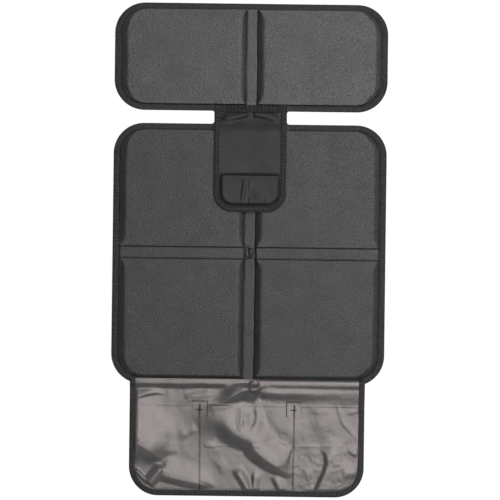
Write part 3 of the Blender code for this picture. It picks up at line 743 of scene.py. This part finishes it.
# Header of the flap: a coarser ribbed tape that covers the seam on the back panel's edge.
# Its ribs are 2.3 mm apart in the photograph, and they are modelled.
ribbed_tape = tape_material("Coarse ribbed header tape", "#131212", "#666464", HEADER_RIB, 0.45)
ys = np.linspace(HEADER_FRONT, FLAP_BOX[3], 16)
xs = np.linspace(FLAP_BOX[0] + 0.0006, FLAP_BOX[1] - 0.0006, 420)
x, y = np.meshgrid(xs, ys)
x = x + 0.0006 * ripple(y, x * 0, 0.006, 61)
ribs = np.abs(np.sin(math.pi * (x + 0.0006 * ripple(x, y, 0.005, 62)) / HEADER_RIB))
edge = smooth((y - HEADER_FRONT) / 0.0012) * smooth((FLAP_BOX[3] - y) / 0.0012)
base = FLAP_LOW + CLOTH_LIFT + NYLON_THICK + LAYER_GAP
top = base + 0.0008 + edge * (0.0002 + 0.0014 * ribs + 0.0003 * ripple(x, y, 0.004, 63))
piece = slab("flap_header", x, y, top, base + 0 * x, ribbed_tape)
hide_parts("flap_header_tape")

piece = folded_tape("flap_tape", FLAP_BOX, FLAP_CORNER, HEM_HEIGHT, flap_base, grosgrain,
                    ring=False, step=0.0022, seed=71)
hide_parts("flap_binding")
rows = []
# Both rows are drawn 3 mm thick: real stitches, widened into painted shade along the grooves at the tape's
# sides.
for inset in (0.0080, 0.0030):
    plan = inside_edge(FLAP_BOX, FLAP_CORNER, inset, ring=False).T
    rows.append(stitch_row(*plan, flap_base(*plan) + HEM_HEIGHT + LAYER_GAP, thick=0.0030))
x = np.linspace(FLAP_BOX[0] + 0.002, FLAP_BOX[1] - 0.002, 80)
rows.append(stitch_row(x, HEADER_FRONT + 0.0016, base + 0.0018))
piece = sewn("flap_stitches", rows, black_thread)


# The front pocket: two layers of silver-grey coated nylon, sewn over the seat's front edge and
# bound with tape. Limp and creased, the cloth stands in loose folds that run to the tape.
POCKET_BOX = plan_box("pocket_binding")
POCKET_CORNER = 0.050
POCKET_HIGH = 0.0041
SEAT_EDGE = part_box("seat_binding")[0].y
POCKET_MOUTH = 0.0335
PATCH_NEAR, PATCH_FAR = 0.0665, 0.0935
PATCH_TOP, PATCH_FOOT = 0.0270, 0.0540
NYLON_COLOUR = "#4d4d4d"
NYLON_SHADE = "#404141"
NYLON_SHEEN = "#fff3ee"

# Each fold: its crest in millimetres across and behind the seat's edge, height, shaded widths,
# lit widths and how it fades at its ends. The shaded side is on the crest's right hand.
BIG_FOLDS = (
    (((-98, -84), (-76, -68), (-56, -60), (-42, -61), (-31, -69), (-21, -80), (-8, -87), (9, -96),
      (16, -110), (34, -126), (52, -138), (68, -146), (88, -146)), 10.5, (42, 12), (60, 46), (0.34, 0.2)),
    (((-64, -40), (-48, -35), (-34, -27), (-24, -19), (-12, -12), (4, -9), (16, -8), (25, -11)),
     13.0, (13, 28), (34, 14), (0.55, 0.12), 0.7),
    (((-200, -27), (-188, -23), (-174, -18), (-158, -15), (-136, -16)),
     3.8, (9, 4), (16, 12), (0.0, 0.6)),
    (((-200, -34), (-188, -38), (-170, -47), (-158, -50)), 2.4, (7, 5), (14, 12), (0.0, 0.6)),
    (((-76, -37), (-56, -37), (-36, -36.5), (-18, -34)), 6.0, (20, 12), (4.5, 4.5), (0.35, 0.3)),
    (((-230, -88), (-200, -95), (-187, -102), (-168, -113), (-150, -127), (-140, -138)),
     14.0, (52, 22), (110, 60), (0.0, 0.4), 1.0),
    (((-141, -135), (-150, -150), (-167, -170)), 9.0, (17, 13), (14, 12), (0.3, 0.1)),
    (((-190, -146), (-179, -156), (-167, -169)), 4.2, (5, 5), (6, 6), (0.1, 0.2)),
    (((-154, -150), (-132, -157), (-106, -164), (-80, -169), (-52, -172)),
     6.0, (15, 9), (44, 30), (0.15, 0.35)),
    (((-22, -140), (-12, -154), (-3, -168), (6, -184)), 5.5, (9, 9), (17, 12), (0.35, 0.0)),
    (((17, -142), (14, -160), (12, -184)), 3.2, (7, 6), (16, 14), (0.45, 0.0)),
    (((42, -150), (52, -164), (60, -184)), 3.0, (9, 8), (18, 16), (0.45, 0.0)),
    (((122, -104), (132, -110), (138, -120), (138, -138), (131, -158), (121, -182)), 5.4,
     (7, 9), (40, 46), (0.35, 0.0)),
    (((20, -6), (34, -10), (56, -13.5), (80, -13), (120, -15), (200, -14)),
     1.6, (15, 10), (12, 10), (0.08, 0.8)),
    (((22, -58), (48, -64), (74, -82), (90, -104)), 2.4, (32, 24), (50, 44), (0.35, 0.35)),
    (((100, -66), (130, -66), (164, -74)), 2.0, (34, 30), (46, 46), (0.45, 0.45)),
    (((140, -156), (170, -150), (200, -142)), 2.2, (22, 18), (36, 30), (0.5, 0.0)),
)
SMALL_FOLDS = (
    (((-13, -37), (-15, -50), (-15, -66), (-8, -84)), 1.2, (4, 4), (5, 5), (0.2, 0.3)),
    (((-4, -44), (-3, -58), (-5, -76)), 1.3, (5, 5), (12, 9), (0.35, 0.35)),
    (((9, -35), (17, -45), (18, -58), (14, -70), (4, -82)), 1.9, (7, 7), (18, 14), (0.3, 0.4)),
    (((-122, -92), (-104, -84), (-82, -74)), 1.6, (12, 10), (20, 18), (0.4, 0.3)),
    (((50, -92), (62, -97), (76, -104)), 1.2, (6, 5), (14, 14)),
    (((168, -104), (178, -110), (192, -120)), 1.4, (8, 8), (16, 16), (0.4, 0.0)),
    (((150, -24), (157, -48), (165, -66), (188, -90)), 0.8, (3, 4), (9, 10), (0.3, 0.2)),
    (((168, -48), (182, -44), (198, -38)), 1.0, (6, 6), (11, 11), (0.4, 0.0)),
    (((-198, -84), (-188, -90), (-178, -97)), 1.2, (4, 4), (8, 8), (0.0, 0.5)),
    (((-76, -104), (-62, -106), (-50, -104)), 0.9, (3, 3), (12, 12)),
    (((84, -122), (98, -126), (110, -128)), 0.4, (5, 5), (9, 9)),
    (((-120, -40), (-92, -22), (-70, -17), (-40, -15)), 1.6, (9, 9), (12, 12)),
    (((-110, -22), (-84, -19)), 0.9, (3, 3), (8, 8)),
    (((-170, -70), (-140, -78), (-120, -74)), 0.8, (14, 14), (20, 20)),
    (((-160, -100), (-135, -112), (-110, -118)), 0.8, (12, 12), (20, 20)),
    (((100, -40), (125, -44), (148, -40)), 0.7, (8, 8), (16, 16)),
    (((-68, -105), (20, -104.5), (60, -105)), 0.30, (2, 2), (4, 4), (0.2, 0.2)),
    (((72, -104), (120, -104), (172, -103)), 0.45, (2, 2), (5, 5), (0.2, 0.2)),
    (((92, -136), (104, -150), (108, -170)), 1.0, (8, 8), (16, 16), (0.4, 0.3)),
    (((160, -130), (168, -142), (170, -160)), 1.0, (8, 8), (14, 14), (0.4, 0.3)),
    (((-60, -124), (-44, -138), (-40, -158)), 1.0, (9, 9), (16, 16)),
    (((-84, -160), (-66, -166), (-48, -176)), 1.0, (5, 5), (9, 9), (0.4, 0.3)),
    (((11, 8), (6, -1), (9, -13)), 3.2, (5, 5), (2.5, 3), (0.2, 0.2)),
    (((17, 6), (14, -3)), -3.2, (4, 4), (3.5, 3.5), (0.2, 0.2)),
    (((22, -12), (25, -20), (22, -28)), -2.4, (4, 4), (4, 4), (0.3, 0.3)),
)
# Where the cloth leaves the seat's edge and where it reaches the table, in millimetres.
STEP_ACROSS = (-200, -188, -122, -80, -54, -12, 3, 12, 25, 60, 100, 200)
STEP_START = (-3.0, -3.0, -3.0, -3.0, -2.5, -2.0, -1.0, 4.0, 11.0, 12.0, 10.0, 9.0)
STEP_END = (10.0, 9.5, 9.0, 9.0, 10.0, 13.0, 14.0, 18.0, 27.0, 31.0, 36.0, 42.0)


def nylon_base(x, y):
    """Underside of the pocket: bulging a little over the seat's bound edge, more on the right,
    then down its front to the table."""
    front = (SEAT_EDGE - y) * 1000
    start = np.interp(x * 1000, STEP_ACROSS, STEP_START) + 0.8 * ripple(x, 0 * x, 0.03, 81)
    end = np.interp(x * 1000, STEP_ACROSS, STEP_END) + 1.4 * ripple(x, 0 * x, 0.026, 82)
    bulge = (0.0007 + 0.0017 * smooth((x + 0.01) / 0.04)) * smooth((front + 10.5) / 4)
    bulge = bulge * (1 - smooth((front + 1.5) / 9))
    return POCKET_HIGH * (1 - smooth((front - start) / (end - start))) + bulge


def nylon_rise(x, y):
    """How far the loose cloth stands up. Big folds join as the 2.4th root of their summed 2.4th
    powers, small ones and crumple noise are added, and all of it fades out at the tape."""
    behind = y - SEAT_EDGE
    big = sum(fold(x, behind, *item) ** 2.4 for item in BIG_FOLDS) ** (1 / 2.4)
    small = sum(fold(x, behind, *item) for item in SMALL_FOLDS)
    crumple = (0.0004 * (0.5 - np.abs(ripple(x, y, 0.030, 91))) + 0.00016 * ripple(x, y, 0.014, 92)
               + 0.00024 * (0.5 - np.abs(ripple(x + y * 0.4, y - x * 0.3, 0.009, 93))))
    crumple = crumple * (1 + 1.6 * smooth((x - 0.02) / 0.08) * smooth((-0.075 - behind) / 0.05))
    depth = depth_inside(x, y, (*POCKET_BOX[:3], FAR_REAR), POCKET_CORNER)
    held = smooth((depth - 0.0085) / 0.0055)
    loose = smooth((0.006 - behind) / 0.010)
    fine = (small + crumple + 0.0004) * smooth((0.010 - behind) / 0.006)
    return np.maximum(big * loose + fine, -0.0004) * held


# Polyamide cloth with a pearly polyurethane coating: satin, so flat parts shine and slopes that
# turn from the light go dark and cool. The real weave is 0.25 mm, drawn at 1.6 mm.
pocket_nylon, tree = new_material("Silver-grey coated nylon")
place = add_node(tree, "TexCoord").outputs["Object"]
cloud = add_node(tree, "TexNoise", {"Scale": 60.0, "Detail": 3.0}, {"Vector": place})
fine = add_node(tree, "TexNoise", {"Scale": 650.0, "Detail": 2.0}, {"Vector": place})
tone = add_node(tree, "Math", {"operation": "MULTIPLY_ADD", 1: 0.5}, {0: fine, 2: cloud})
tone = add_node(tree, "MapRange", {"From Min": 0.5, "From Max": 1.0}, {"Value": tone})
colour = add_node(tree, "Mix", {"data_type": "RGBA", 6: linear(NYLON_SHADE),
                  7: linear(NYLON_COLOUR)}, {0: tone})
rough = add_node(tree, "MapRange", {"To Min": 0.43, "To Max": 0.49}, {"Value": cloud})
creased = add_node(tree, "Bump", {"Strength": 0.25, "Distance": 0.0008}, {"Height": cloud})
weave = woven(tree, place, 0.0016, 0.00030, creased)
shader = add_node(tree, "BsdfPrincipled", {"IOR": 1.7, "Specular IOR Level": 1.0,
                  "Specular Tint": linear(NYLON_SHEEN)},
                  {"Base Color": colour.outputs[2], "Roughness": rough, "Normal": weave})
add_node(tree, "OutputMaterial", {}, {"Surface": shader})

inner = (*plan_box("pocket_binding", SEWN_EDGE)[:3], POCKET_BOX[3] - LAYER_GAP)
xs = np.linspace(inner[0], inner[1], 266)
ys = grid_lines(inner[2], inner[3], (SEAT_EDGE,), 0.0008, 0.0015, 0.012)
x, y = rounded_grid(inner, POCKET_CORNER - SEWN_EDGE, xs, ys, round_rear=False)
back_layer = nylon_base(x, y) + CLOTH_LIFT + nylon_rise(x, y)
piece = slab("pocket_back_cloth", x, y, back_layer + NYLON_THICK, back_layer, pocket_nylon)
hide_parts("pocket_back_layer")

low_rows = ys < SEAT_EDGE - POCKET_MOUTH
px, py = x[low_rows], y[low_rows]
hem = 0.0006 * np.exp(-((SEAT_EDGE - POCKET_MOUTH - 0.0012 - py) / 0.0011) ** 2)
front_layer = back_layer[low_rows] + NYLON_THICK + LAYER_GAP
piece = slab("pocket_front_cloth", px, py, front_layer + NYLON_THICK + hem, front_layer, pocket_nylon)
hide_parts("pocket_front_layer")


def nylon_top(x, y):
    """Upper face of the front layer, where patches and stitches lie."""
    return nylon_base(x, y) + nylon_rise(x, y) + CLOTH_LIFT + 2 * NYLON_THICK + LAYER_GAP


# A small square of the same nylon, sewn on three sides, strengthens each divider seam's top.
# The divider seams run from there to the lower tape and split the pocket in three.
rows = []
for side, word, foot_x, painted_shadow_edges in ((-1, "left", -0.0790, (1, 2)), (1, "right", 0.0795, (1, 0))):
    xs = np.linspace(PATCH_NEAR, PATCH_FAR, 20) if side > 0 else np.linspace(-PATCH_FAR, -PATCH_NEAR, 20)
    x, y = np.meshgrid(xs, np.linspace(SEAT_EDGE - PATCH_FOOT, SEAT_EDGE - PATCH_TOP, 20))
    top = nylon_top(x, y) + LAYER_GAP
    piece = slab(f"pocket_patch_{word}", x, y, top + NYLON_THICK, top, pocket_nylon)
    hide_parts(f"patch_{word}")
    for number, (along, across) in enumerate((((xs[0] + 0.001,) * 2, (PATCH_TOP, PATCH_FOOT)),
                                              ((xs[0], xs[-1]), (PATCH_TOP + 0.0012,) * 2),
                                              ((xs[-1] - 0.001,) * 2, (PATCH_TOP, PATCH_FOOT)))):
        x = np.linspace(*along, 40)
        y = SEAT_EDGE - np.linspace(*across, 40)
        # On the patch's top edge and its edge toward the middle, the stitch row is drawn 2.1 mm thick and
        # black: painted shadow under the lifted edge, over the real stitches there.
        thick = 0.0021 if number in painted_shadow_edges else 0.0006
        rows.append(stitch_row(x, y, nylon_top(x, y) + 0.0011, 0.0027, 0.0026, thick))
    y = SEAT_EDGE - np.linspace(0.034, 0.1795, 160)
    x = np.linspace(side * 0.0805, foot_x, 160)
    on_patch = (NYLON_THICK + LAYER_GAP) * (y > SEAT_EDGE - PATCH_FOOT)
    rows.append(stitch_row(x, y, nylon_top(x, y) + on_patch + 0.0004, 0.0036, 0.0018, 0.0042))
    for reach_x, reach_y in ((0.0055, 0.0), (0.0, 0.0090)):
        x = np.linspace(-reach_x, reach_x, 30) + side * 0.0803
        y = np.linspace(reach_y, -reach_y, 30) + SEAT_EDGE - 0.0425
        rows.append(stitch_row(x, y, nylon_top(x, y) + 0.0013, 0.0017, 0.0016, 0.0022))
piece = sewn("pocket_divider_stitches", rows, black_thread)

piece = folded_tape("pocket_tape", POCKET_BOX, POCKET_CORNER, HEM_HEIGHT, nylon_base, grosgrain,
                    ring=False, step=0.0022, seed=95)
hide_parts("pocket_binding")
plan = inside_edge(POCKET_BOX, POCKET_CORNER, 0.0084, ring=False).T
row = stitch_row(*plan, nylon_base(*plan) + HEM_HEIGHT + LAYER_GAP)
piece = sewn("pocket_tape_stitches", [row], black_thread)
